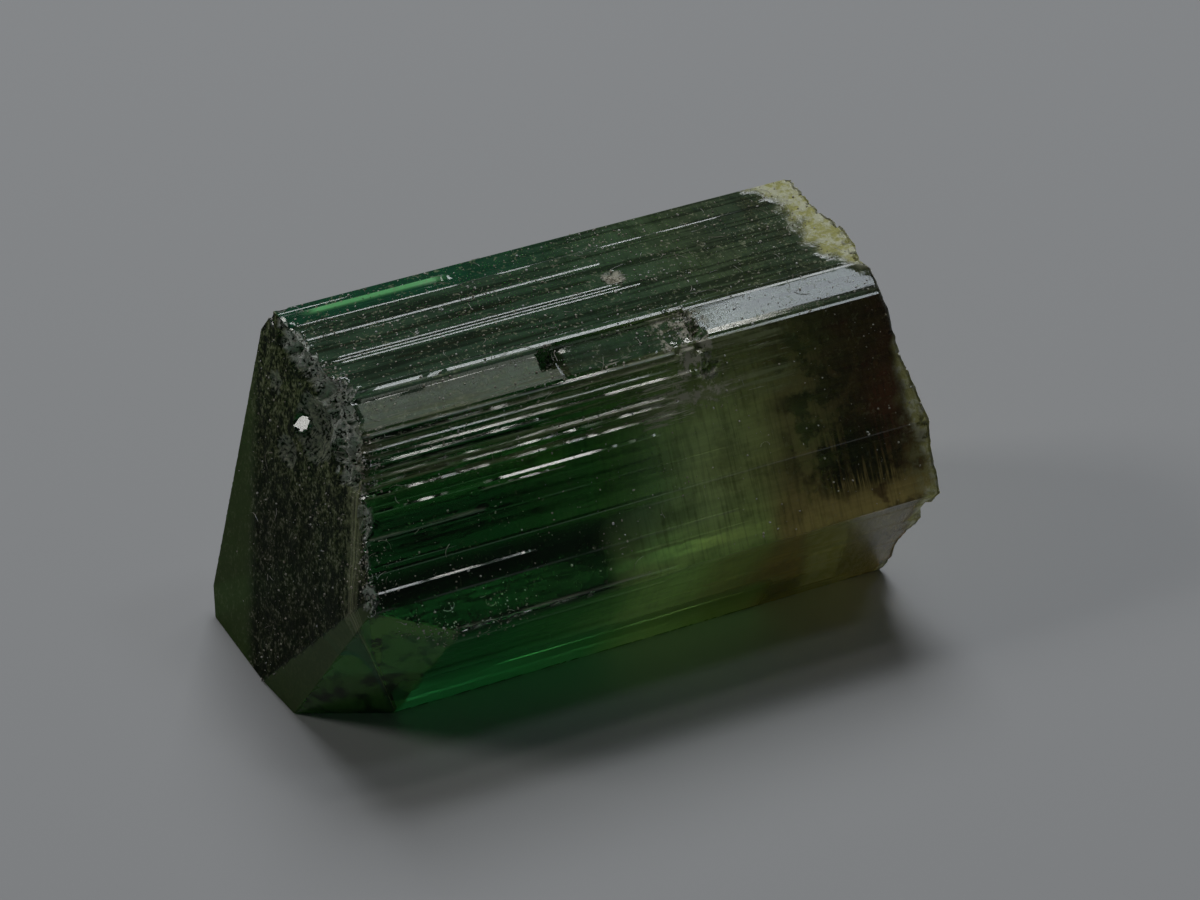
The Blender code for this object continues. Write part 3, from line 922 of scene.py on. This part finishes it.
# green at the natural end, then yellow-green, olive, brown and red
tourmaline = {
    "ior": 1.63,
    "dullIor": 1.15,
    "depthColour": (0.30, 0.72, 0.34, 1.0),
    "depthDensity": 150.0,
    # the ramps along the crystal are 0 at x -10 mm and 1 at x +10 mm
    "rampPerMm": 0.05,
    "rampShift": 0.6,
    "zoneWander": 2.0,
    # colour of what passes the surface
    "skinStops": [
        (0.00, (0.050, 0.17, 0.070, 1.0)),
        (0.30, (0.030, 0.14, 0.050, 1.0)),
        (0.44, (0.040, 0.19, 0.055, 1.0)),
        (0.50, (0.160, 0.36, 0.100, 1.0)),
        (0.57, (0.750, 0.85, 0.350, 1.0)),
        (0.70, (0.850, 0.80, 0.300, 1.0)),
        (0.78, (0.500, 0.32, 0.100, 1.0)),
        (0.93, (0.350, 0.16, 0.050, 1.0)),
        (1.00, (0.600, 0.52, 0.200, 1.0)),
    ],
    # colour of the fine clouds that stand in it
    "cloudStops": [
        (0.00, (0.012, 0.028, 0.012, 1.0)),
        (0.46, (0.014, 0.036, 0.016, 1.0)),
        (0.53, (0.180, 0.320, 0.140, 1.0)),
        (0.62, (0.640, 0.860, 0.330, 1.0)),
        (0.70, (0.560, 0.660, 0.230, 1.0)),
        (0.76, (0.300, 0.270, 0.100, 1.0)),
        (0.84, (0.110, 0.078, 0.034, 1.0)),
        (0.95, (0.080, 0.045, 0.018, 1.0)),
        (1.00, (0.200, 0.180, 0.060, 1.0)),
    ],
    # how thick those clouds are, as greys
    "cloudAmount": [
        (0.00, (0.16, 0.16, 0.16, 1.0)),
        (0.44, (0.20, 0.20, 0.20, 1.0)),
        (0.55, (0.58, 0.58, 0.58, 1.0)),
        (0.70, (0.62, 0.62, 0.62, 1.0)),
        (0.80, (0.80, 0.80, 0.80, 1.0)),
        (1.00, (0.85, 0.85, 0.85, 1.0)),
    ],
    "oliveCloud": (0.740, 0.580, 0.190, 1.0),
    # painted glow for the line in the emerald strip
    "innerGlow": (0.30, 0.95, 0.36, 1.0),
    # painted light low in the middle
    "litCloud": (0.620, 0.960, 0.240, 1.0),
    "rustyCloud": (0.120, 0.045, 0.026, 1.0),
    "amberSkin": (1.00, 0.40, 0.14, 1.0),
    "emeraldSkin": (0.10, 0.62, 0.26, 1.0),
    "glowSkin": (1.0, 1.0, 0.50, 1.0),
    "dimSkin": (0.002, 0.010, 0.003, 1.0),
    "cornerCloud": (0.120, 0.330, 0.060, 1.0),
    # painted shade on the upper part, and the dark heart in the brown
    "darkCloud": (0.022, 0.024, 0.014, 1.0),
    "bandCloud": (0.022, 0.026, 0.013, 1.0),
    # painted emerald glow for the strip at the back of the top
    "paintedEmeraldGlow": (0.020, 0.150, 0.075, 1.0),
    "clearSkin": (0.16, 0.52, 0.10, 1.0),
    "topCloud": (0.105, 0.195, 0.115, 1.0),
    "darkStreak": (0.012, 0.016, 0.010, 1.0),
    "endSkin": (0.006, 0.010, 0.002, 1.0),
    "endSkinPale": (0.250, 0.300, 0.110, 1.0),
    "endSmooth": (0.090, 0.150, 0.035, 1.0),
    "rimPale": (0.92, 0.92, 0.66, 1.0),
    "rimOlive": (0.64, 0.62, 0.24, 1.0),
    "crumbColour": (0.86, 0.90, 0.82, 1.0),
    # colour of the painted highlights along ridge crests
    "paintedHighlightColour": (0.82, 0.90, 0.92, 1.0),
    "hazeColour": (0.52, 0.56, 0.30, 1.0),
    # dust and dusty dashes; on the ledge it also paints glints of small facets
    "dustAndGlintColour": (0.82, 0.77, 0.64, 1.0),
    # noise on the place: scale, detail, roughness
    "noises": {
        "wander": (0.35, 2.0),
        "mottle": (1.3, 3.0, 0.65),
        "film": (2.8, 3.0, 0.72),
        "pits": (9.0, 2.0, 0.6),
    },
    # drawn-out noise: per millimetre along, per millimetre across, which, detail, roughness
    "drawnNoises": {
        "hairs": (9.0, 0.50, 0.0, 2.0, 0.6),
        "bands": (0.13, 3.4, 0.0, 3.0, 0.65),
        "rows": (0.9, 12.0, 2.0, 3.0, 0.75),
    },
    # a patch is a share times soft ranges of x, z, shifted (x with an uneven border) or across
    # (the way round the outline) in millimetres, or of a noise; within has its border last
    "patches": {
        "lean": (0.9, ("z", "above", 1.5, 9.0)),
        "lowerFace": (0.7, ("across", "below", 4.9, 5.5)),
        "frontFoot": (1.0, ("across", "within", 5.30, 7.1, 0.6), ("x", "below", 0.2, 2.6)),
        "clearBand": (0.8, ("across", "within", 9.2, 10.2, 0.3), ("x", "within", -8.0, -2.0, 0.8)),
        "amberFoot": (0.9, ("x", "above", 3.5, 5.5), ("z", "below", 3.6, 5.0)),
        "lowGlow": (1.0, ("across", "within", 0.1, 1.7, 0.9), ("x", "within", -7.6, 4.4, 1.4)),
        "glowTurn": (1.0, ("x", "above", -1.0, 1.5)),
        "olive": (0.9, ("shifted", "above", 3.5, 5.5), ("z", "below", 4.4, 6.4)),
        "shaded": (0.7, ("z", "above", 8.0, 9.8)),
        "heart": (
            1.0,
            ("x", "within", 6.0, 8.6, 1.2),
            ("z", "above", 4.6, 6.4),
            ("mottle", "above", 0.40, 0.56),
        ),
        "lit": (0.9, ("shifted", "within", 0.3, 3.6, 1.5), ("z", "below", 3.6, 6.6)),
        "rusty": (0.6, ("x", "above", 6.0, 8.0), ("mottle", "above", 0.50, 0.60)),
        "russet": (0.8, ("x", "within", 8.3, 9.4, 0.6), ("across", "within", 7.4, 9.2, 0.7)),
        "hollow": (
            1.0,
            ("x", "within", 6.6, 8.3, 0.6),
            ("across", "within", 6.3, 7.7, 0.5),
            ("hairs", "above", 0.40, 0.55),
        ),
        "cornerStreaks": (1.0, ("mottle", "above", 0.46, 0.62)),
        "top": (1.0, ("across", "within", 11.56, 17.66, 0.05)),
        "topFade": (0.35, ("x", "above", 2.0, 6.5)),
        "topBands": (0.75, ("bands", "above", 0.44, 0.60)),
        "block": (1.0, ("across", "within", 11.5, 12.6, 0.1), ("x", "within", -1.40, -0.90, 0.05)),
        "backStrip": (0.85, ("across", "within", 16.75, 17.70, 0.10), ("x", "below", -3.0, 3.0)),
        "tubes": (
            0.26,
            ("hairs", "above", 0.46, 0.66),
            ("x", "above", -1.0, 1.0),
            ("x", "below", 8.5, 10.0),
        ),
        "mist": (0.30, ("mottle", "above", 0.44, 0.68)),
        "glowLine": (1.0, ("x", "within", -6.4, -2.9, 0.7)),
        "paleUpward": (0.75, ("z", "above", 4.0, 9.5)),
        "rimPatches": (1.0, ("film", "above", 0.42, 0.58)),
        "crumbPits": (1.0, ("pits", "above", 0.42, 0.54)),
        "crumbFilm": (1.0, ("film", "above", 0.48, 0.58)),
        "lump": (1.0, ("x", "within", 1.85, 2.30, 0.15), ("across", "within", 14.85, 15.25, 0.15)),
        "upperBand": (1.0, ("across", "within", 9.9, 11.5, 0.6), ("x", "within", -8.2, 5.5, 0.9)),
        "bandRows": (1.0, ("rows", "above", 0.57, 0.67)),
        "chippedRows": (
            1.0,
            ("rows", "above", 0.48, 0.56),
            ("across", "within", 9.5, 10.6, 0.2),
            ("x", "within", 1.1, 2.5, 0.3),
        ),
        "dashedRows": (1.0, ("rows", "above", 0.36, 0.50)),
        "ledge": (1.0, ("x", "within", 2.2, 3.5, 0.5), ("across", "within", 9.9, 12.4, 0.4)),
        "ledgeFilm": (1.0, ("film", "above", 0.46, 0.58)),
        "hazeBands": (1.0, ("bands", "above", 0.40, 0.62)),
        # a pale film on the left of the narrow face: partly dusty haze, partly painted sheen
        "satin": (
            0.30,
            ("across", "within", 11.56, 12.58, 0.05),
            ("x", "below", -1.7, -1.3),
            ("film", "above", 0.36, 0.66),
        ),
        "tip": (
            0.6,
            ("x", "above", 8.3, 9.6),
            ("across", "within", 4.8, 7.6, 0.7),
            ("film", "above", 0.30, 0.60),
        ),
    },
    "footShade": 0.92,
    "darkShade": 0.85,
    "streakShade": 0.9,
    "topShade": 0.9,
    "glowLineAcross": 17.15,
    "glowLineWidth": (0.04, 0.16),
    # how thick the clouds are, at least and at most, and where they are thicker
    "thickness": {
        "least": 0.60,
        "bands": 0.8,
        "frontFoot": 0.75,
        "glow": 0.9,
        "topLeast": 0.35,
        "topBands": 0.4,
        "corner": 0.5,
        "dark": 0.9,
        "most": 0.95,
    },
    # heights of the fine relief in millimetres
    "relief": {
        "rows": 0.0014,
        "pits": 0.054,
        "brokenFilm": 0.26,
        "rimFilm": 0.12,
        "pittedShare": 0.8,
        "roughFrom": (0.2, 0.9),
    },
    "roughness": {
        "polish": 0.03,
        "bands": 0.06,
        "rough": 0.3,
        "lowGlow": 0.45,
        "dull": 0.55,
    },
    # what is dull, and how far each kind covers the clear crystal
    "dull": {
        "specular": 0.04,
        "transmission": 0.3,
        "paleFrom": (0.44, 0.64),
        "paleLeast": 0.25,
        "smoothShare": 0.8,
        "dustGrain": (0.6, 0.4),
        "dustFrom": (0.54, 0.66),
        "bandHaze": 0.75,
        "ledgeHaze": 0.7,
        "frosted": 0.92,
        "crumbs": 0.9,
        "rim": 0.96,
        "dust": 0.8,
        "dashes": 0.85,
        "bright": 0.65,
    },
}


def tourmalineMaterial():
    maker = MaterialMaker("tourmaline")
    place = maker.coordinates()
    x, _, z = maker.split(place)
    across, bright, dashed, dark, broken, frosted, pitted, rim, corner, dusty = [
        maker.attribute(name) for name in markNames
    ]
    grains = {name: maker.noise(place, *values) for name, values in tourmaline["noises"].items()}
    for name, (lengthwise, crosswise, which, *values) in tourmaline["drawnNoises"].items():
        drawn = maker.join(x * lengthwise, across * crosswise, which)
        grains[name] = maker.noise(drawn, 1.0, *values)
    film, pits, bands, rows = [grains[name] for name in ("film", "pits", "bands", "rows")]
    shifted = x + (grains["wander"] - 0.5) * tourmaline["zoneWander"]
    measures = {"x": x, "z": z, "across": across, "shifted": shifted, **grains}

    def patch(name):
        return maker.patch(measures, *tourmaline["patches"][name])

    def tinted(colour, mask, name):
        return maker.mixColour(mask, colour, tourmaline[name])

    # colour zones follow the crystal's length, with uneven borders
    along = (shifted - patch("lean") + tourmaline["rampShift"]) * tourmaline["rampPerMm"] + 0.5
    skin = maker.ramp(along, tourmaline["skinStops"])
    cloud = maker.ramp(along, tourmaline["cloudStops"])
    thickness = tourmaline["thickness"]
    amount = maker.ramp(along, tourmaline["cloudAmount"])
    amount = amount * (thickness["least"] + bands * thickness["bands"]) * (1.0 - patch("lowerFace"))

    # what shows deep inside, face by face
    frontFoot = patch("frontFoot")
    skin = tinted(skin, frontFoot * tourmaline["footShade"], "dimSkin")
    skin = tinted(skin, patch("clearBand"), "clearSkin")
    skin = tinted(skin, patch("amberFoot"), "amberSkin")
    lowGlow = patch("lowGlow")
    glowColour = maker.mixColour(patch("glowTurn"), tourmaline["emeraldSkin"], tourmaline["glowSkin"])
    skin = maker.mixColour(lowGlow, skin, glowColour)

    # clouds: olive and rust on the right, painted light low in the middle, painted shade above, and a
    # dark heart in the brown
    cloud = tinted(cloud, patch("olive"), "oliveCloud")
    cloud = tinted(cloud, patch("shaded").most(patch("heart")) * tourmaline["darkShade"], "darkCloud")
    cloud = tinted(cloud, patch("lit"), "litCloud")
    cloud = tinted(cloud, patch("rusty").most(patch("russet")), "rustyCloud")
    streaks = patch("hollow").most(corner * patch("cornerStreaks"))
    cloud = tinted(cloud, corner, "cornerCloud")
    cloud = tinted(cloud, streaks * tourmaline["streakShade"], "darkStreak")

    # the top: pale and dark bands, a dark block, and at the back an emerald strip of painted glow
    onTop = patch("top")
    cloud = tinted(cloud, onTop * (tourmaline["topShade"] - patch("topFade")), "topCloud")
    cloud = tinted(cloud, onTop * patch("topBands"), "darkStreak")
    cloud = tinted(cloud, dark.most(patch("block")), "bandCloud")
    cloud = tinted(cloud, patch("backStrip"), "paintedEmeraldGlow")

    # hair-fine tubes across the pale zone, and a painted glow line in the emerald strip
    cloud = tinted(cloud, patch("tubes") + patch("mist"), "darkStreak")
    fromLine = abs(across - tourmaline["glowLineAcross"])
    glow = maker.below(fromLine, *tourmaline["glowLineWidth"]) * patch("glowLine")
    cloud = tinted(cloud, glow, "innerGlow")
    amount = amount.most(frontFoot * thickness["frontFoot"]) * (1.0 - lowGlow)
    amount = amount.most(glow * thickness["glow"])
    amount = amount.most(onTop * (thickness["topLeast"] + bands * thickness["topBands"]))
    amount = amount.most(corner * thickness["corner"]).most(dark * thickness["dark"])
    amount = amount.least(thickness["most"])

    # relief: growth lines, pits on what is frosted or broken
    relief = tourmaline["relief"]
    roughSkin = maker.above(broken + pitted * relief["pittedShare"], *relief["roughFrom"])
    height = rows * (1.0 - frosted) * relief["rows"] + pits * roughSkin * relief["pits"]
    height = height + film * (broken * relief["brokenFilm"] + rim * relief["rimFilm"])
    normal = maker.bump(height, mm)
    roughness = tourmaline["roughness"]
    polish = roughness["polish"] + bands * roughness["bands"]
    glassInputs = {
        "Base Color": skin,
        "Roughness": polish + roughSkin * roughness["rough"] + lowGlow * roughness["lowGlow"],
        "IOR": tourmaline["ior"],
        "Transmission Weight": 1.0,
        "Normal": normal,
    }
    glass = maker.add("ShaderNodeBsdfPrincipled", None, glassInputs)
    cloudInputs = {
        "Base Color": cloud,
        "Roughness": polish,
        "IOR": tourmaline["ior"],
        "Normal": normal,
    }
    clouds = maker.add("ShaderNodeBsdfPrincipled", None, cloudInputs)
    inside = maker.mixShader(amount, glass, clouds)

    # what is dull: the frosted end, crumbs, the pale rim, dust and dusty dashes, painted highlight
    # lines, and some painted sheen and glints
    dull = tourmaline["dull"]
    paleEnd = maker.above(film * 0.5 + pits * 0.5, *dull["paleFrom"])
    paleEnd = paleEnd * (dull["paleLeast"] + patch("paleUpward"))
    endColour = maker.mixColour(paleEnd, tourmaline["endSkin"], tourmaline["endSkinPale"])
    endColour = tinted(endColour, frosted * (1.0 - pitted) * dull["smoothShare"], "endSmooth")
    rimColour = maker.mixColour(patch("rimPatches"), tourmaline["rimOlive"], tourmaline["rimPale"])
    crumbs = broken * patch("crumbPits").most(patch("crumbFilm"))
    pitShare, filmShare = dull["dustGrain"]
    dust = dusty * maker.above(pits * pitShare + film * filmShare, *dull["dustFrom"])
    dust = dust.most(patch("lump"))
    upperBand = patch("upperBand")
    ledge = patch("ledge")
    dashes = (patch("bandRows") * upperBand).most(patch("chippedRows"))
    # on the ledge the pale flecks are partly dust, partly painted glints of small facets
    dashes = dashes.most(dashed * patch("dashedRows")).most(ledge * patch("ledgeFilm"))
    haze = patch("hazeBands") * (upperBand * dull["bandHaze"]).most(ledge * dull["ledgeHaze"])
    # the film on the narrow face's left strip is partly painted sheen
    haze = haze.most(patch("satin")).most(patch("tip"))
    dullColour = tinted(endColour, crumbs, "crumbColour")
    dullColour = tinted(dullColour, haze, "hazeColour")
    dullColour = maker.mixColour(rim, dullColour, rimColour)
    # painted highlights along the ridge crests
    dullColour = tinted(dullColour, bright, "paintedHighlightColour")
    dullColour = tinted(dullColour, dust.most(dashes), "dustAndGlintColour")
    dullInputs = {
        "Base Color": dullColour,
        "Roughness": roughness["dull"],
        "IOR": tourmaline["dullIor"],
        "Specular IOR Level": dull["specular"],
        "Transmission Weight": dull["transmission"],
        "Normal": normal,
    }
    frost = maker.add("ShaderNodeBsdfPrincipled", None, dullInputs)
    cover = (frosted * dull["frosted"]).most(crumbs * dull["crumbs"]).most(rim * dull["rim"])
    cover = cover.most(dust * dull["dust"]).most(dashes * dull["dashes"])
    cover = cover.most(haze).most(bright * dull["bright"])
    surface = maker.mixShader(cover, inside, frost)

    depthInputs = {"Color": tourmaline["depthColour"], "Density": tourmaline["depthDensity"]}
    volume = maker.add("ShaderNodeVolumeAbsorption", None, depthInputs)
    return maker.finish(surface, volume)


crystal = buildCrystal()
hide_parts("tourmaline_crystal")
print("crystal built")


# loose dust and lint, in millimetres
litter = {
    "specks": 8000,
    "speckSizes": (0.008, 0.040),
    "speckPower": 3.0,
    "speckStretch": (0.5, 1.3),
    "speckRise": 0.4,
    # more of them lie on dusty spots and in patches
    "dustPower": 1.5,
    "patchLeast": 0.35,
    "patchMore": 4.0,
    "patchGrain": 0.7,
    # where more of them lie: centre, reach and strength
    "heaps": [
        ((2.05, 1.62, 10.53), 0.42, 14.0),
        ((3.05, -1.25, 10.35), 0.75, 16.0),
        ((-1.40, -1.10, 10.35), 0.45, 10.0),
        ((1.80, -3.30, 9.00), 0.90, 4.0),
        ((-7.80, -2.30, 9.40), 1.10, 9.0),
        ((-8.30, -3.90, 6.80), 1.40, 4.0),
        ((-7.60, 0.60, 10.40), 0.90, 8.0),
        ((-6.60, -4.85, 4.56), 1.20, 2.4),
        ((-4.40, -4.85, 4.56), 1.20, 1.8),
    ],
    "fibres": 240,
    "fibreRadius": (0.005, 0.009),
    "fibreSides": 4,
    "fibreSteps": (3, 9),
    "fibreStep": 0.06,
    "fibreBend": 0.35,
    "fibreWobble": 0.12,
    "lift": 0.012,
    "extraLift": 0.012,
    "seed": 5,
    # from brown through grey to bluish
    "stops": [
        (0.30, (0.20, 0.17, 0.12, 1.0)),
        (0.50, (0.60, 0.56, 0.46, 1.0)),
        (0.62, (0.85, 0.85, 0.82, 1.0)),
        (0.74, (0.45, 0.52, 0.58, 1.0)),
    ],
    "toneNoise": (2.3, 3.0, 0.7),
    "roughness": (0.7, 0.2),
    "grainNoise": (60.0, 2.0),
    "grainDepth": 0.004,
    "grainStrength": 0.6,
}


def dustMaterial():
    maker = MaterialMaker("dust")
    place = maker.coordinates()
    tone = maker.noise(place, *litter["toneNoise"])
    grain = maker.noise(place, *litter["grainNoise"])
    least, more = litter["roughness"]
    inputs = {
        "Base Color": maker.ramp(tone, litter["stops"]),
        "Roughness": least + tone * more,
        "Normal": maker.bump(grain, litter["grainDepth"] * mm, litter["grainStrength"]),
    }
    return maker.finish(maker.add("ShaderNodeBsdfPrincipled", None, inputs))


def dustyPlaces(rng, mesh, count):
    # centres and normals of faces, drawn by how much dust they hold
    marks = mesh.attributes["dusty"].data
    weights = []
    for face in mesh.polygons:
        amount = sum(marks[v].value for v in face.vertices) / len(face.vertices)
        patch = max(0.0, noise.noise(face.center / mm * litter["patchGrain"])) * litter["patchMore"]
        patch = litter["patchLeast"] + patch + amount
        heap = 0.0
        for centre, reach, strength in litter["heaps"]:
            away = (face.center / mm - Vector(centre)).length / reach
            heap += strength * max(0.0, 1.0 - away)
        weights.append(face.area * (amount ** litter["dustPower"] * patch + heap))
    chosen = rng.choices(range(len(weights)), weights, k=count)
    places = []
    for number in chosen:
        face = mesh.polygons[number]
        shares = [rng.random() for _ in face.vertices]
        place = sum((mesh.vertices[v].co * w for v, w in zip(face.vertices, shares)), Vector())
        places.append((place / sum(shares) / mm, face.normal.copy()))
    return places


def buildSpecks(mesh):
    rng = random.Random(litter["seed"])
    ball = bmesh.new()
    bmesh.ops.create_icosphere(ball, subdivisions=1, radius=1.0)
    speck = bpy.data.meshes.new("speck")
    ball.to_mesh(speck)
    ball.free()
    bm = bmesh.new()
    smallest, largest = litter["speckSizes"]
    for place, normal in dustyPlaces(rng, mesh, litter["specks"]):
        radius = smallest + (largest - smallest) * rng.random() ** litter["speckPower"]
        size = [radius * rng.uniform(*litter["speckStretch"]) for _ in range(3)]
        turn = Matrix.Rotation(rng.uniform(0.0, 2.0 * pi), 4, (rng.random(), rng.random(), 0.3))
        spot = place + normal * radius * litter["speckRise"]
        put = Matrix.Translation(spot) @ turn @ Matrix.Diagonal((*size, 1.0))
        one = speck.copy()
        one.transform(put)
        bm.from_mesh(one)
        bpy.data.meshes.remove(one)
    bpy.data.meshes.remove(speck)
    return finishPiece("dustSpecks", bm, dustMaterial())


def buildLint(mesh):
    rng = random.Random(litter["seed"] + 1)
    surface = BVHTree.FromPolygons(
        [v.co / mm for v in mesh.vertices], [tuple(f.vertices) for f in mesh.polygons]
    )
    bm = bmesh.new()
    for place, normal in dustyPlaces(rng, mesh, litter["fibres"]):
        heading = normal.orthogonal().normalized()
        heading.rotate(Matrix.Rotation(rng.uniform(0.0, 2.0 * pi), 3, normal))
        bend = rng.uniform(-litter["fibreBend"], litter["fibreBend"])
        radius = rng.uniform(*litter["fibreRadius"])
        spot = place + normal * litter["lift"]
        put = Matrix.Translation(spot) @ heading.to_track_quat("Z", "Y").to_matrix().to_4x4()
        fibre = bmesh.new()
        bmesh.ops.create_circle(
            fibre, cap_ends=True, segments=litter["fibreSides"], radius=radius, matrix=put
        )
        tip = fibre.faces[:]
        for _ in range(rng.randint(*litter["fibreSteps"])):
            wobble = rng.uniform(-litter["fibreWobble"], litter["fibreWobble"])
            heading.rotate(Matrix.Rotation(bend + wobble, 3, normal))
            goal = spot + heading * litter["fibreStep"]
            found, away = surface.find_nearest(goal)[:2]
            goal = found + away * (litter["lift"] + litter["extraLift"] * rng.random())
            grown = bmesh.ops.extrude_face_region(fibre, geom=tip)["geom"]
            bmesh.ops.delete(fibre, geom=tip, context="FACES_ONLY")
            moved = [item for item in grown if isinstance(item, bmesh.types.BMVert)]
            bmesh.ops.translate(fibre, verts=moved, vec=goal - spot)
            tip = [item for item in grown if isinstance(item, bmesh.types.BMFace)]
            spot = goal
        bmesh.ops.recalc_face_normals(fibre, faces=fibre.faces)
        one = bpy.data.meshes.new("fibre")
        fibre.to_mesh(one)
        fibre.free()
        bm.from_mesh(one)
        bpy.data.meshes.remove(one)
    return finishPiece("lintFibres", bm, dustMaterial())


specks = buildSpecks(crystal.data)
lint = buildLint(crystal.data)
print("dust and lint:", len(specks.data.polygons), "and", len(lint.data.polygons), "faces")


# in metres, but the camera's target and distance in millimetres
studio = {
    "floorSize": 3.0,
    "floorDrop": 0.00002,
    "floorColour": (0.50, 0.50, 0.51, 1.0),
    "floorRoughness": 0.8,
    "floorSpecular": 0.2,
    "worldColour": (0.012, 0.013, 0.014, 1.0),
    # name, direction, distance, width, depth, watts, colour
    "lights": [
        ("keySoftbox", (0.20, 0.50, 0.88), 0.42, 0.20, 0.20, 0.68, (0.93, 0.97, 1.0)),
        ("rightSoftbox", (0.43, -0.13, 0.90), 0.42, 0.050, 0.055, 0.036, (0.84, 0.92, 1.0)),
        ("stripPanel", (0.335, 0.115, 0.935), 0.41, 0.040, 0.045, 0.050, (1.0, 0.99, 0.95)),
        ("dimPanel", (0.31, -0.14, 0.92), 0.40, 0.050, 0.050, 0.0085, (0.90, 1.0, 0.86)),
        ("leftSoftbox", (-0.70, 0.36, 0.66), 0.42, 0.09, 0.09, 0.18, (1.0, 0.99, 0.95)),
    ],
    "cameraTarget": (-0.569, -3.025, 8.150),
    "cameraAzimuth": -25.28,
    "cameraElevation": 36.04,
    "cameraDistance": 124.52,
    "lens": 130.0,
    "sensorWidth": 36.0,
    "clipStart": 0.001,
}


def floorMaterial():
    maker = MaterialMaker("floor")
    inputs = {
        "Base Color": studio["floorColour"],
        "Roughness": studio["floorRoughness"],
        "Specular IOR Level": studio["floorSpecular"],
    }
    return maker.finish(maker.add("ShaderNodeBsdfPrincipled", None, inputs))


def buildFloor():
    bm = bmesh.new()
    bmesh.ops.create_grid(bm, x_segments=1, y_segments=1, size=studio["floorSize"] / 2)
    bmesh.ops.translate(bm, verts=bm.verts, vec=(0.0, 0.0, -studio["floorDrop"]))
    mesh = bpy.data.meshes.new("floor")
    bm.to_mesh(mesh)
    bm.free()
    mesh.materials.append(floorMaterial())
    floor = bpy.data.objects.new("floor", mesh)
    bpy.context.scene.collection.objects.link(floor)


def addLights():
    for name, direction, distance, width, depth, watts, colour in studio["lights"]:
        light = bpy.data.lights.new(name, "AREA")
        light.shape = "RECTANGLE"
        light.size = width
        light.size_y = depth
        light.energy = watts
        light.color = colour
        lamp = bpy.data.objects.new(name, light)
        towards = Vector(direction).normalized()
        lamp.location = towards * distance
        lamp.rotation_euler = towards.to_track_quat("Z", "Y").to_euler()
        bpy.context.scene.collection.objects.link(lamp)


def setWorld():
    world = bpy.data.worlds.new("studio")
    world.use_nodes = True
    world.node_tree.nodes["Background"].inputs[0].default_value = studio["worldColour"]
    bpy.context.scene.world = world
    bpy.context.scene.view_settings.view_transform = "Standard"


def addCamera():
    azimuth = radians(studio["cameraAzimuth"])
    elevation = radians(studio["cameraElevation"])
    back = Vector((sin(azimuth) * cos(elevation), -cos(azimuth) * cos(elevation), sin(elevation)))
    data = bpy.data.cameras.new("camera")
    data.lens = studio["lens"]
    data.sensor_width = studio["sensorWidth"]
    data.clip_start = studio["clipStart"]
    camera = bpy.data.objects.new("camera", data)
    camera.location = (Vector(studio["cameraTarget"]) + back * studio["cameraDistance"]) * mm
    camera.rotation_euler = back.to_track_quat("Z", "Y").to_euler()
    bpy.context.scene.collection.objects.link(camera)
    bpy.context.scene.camera = camera


buildFloor()
addLights()
setWorld()
addCamera()
print("stage set")
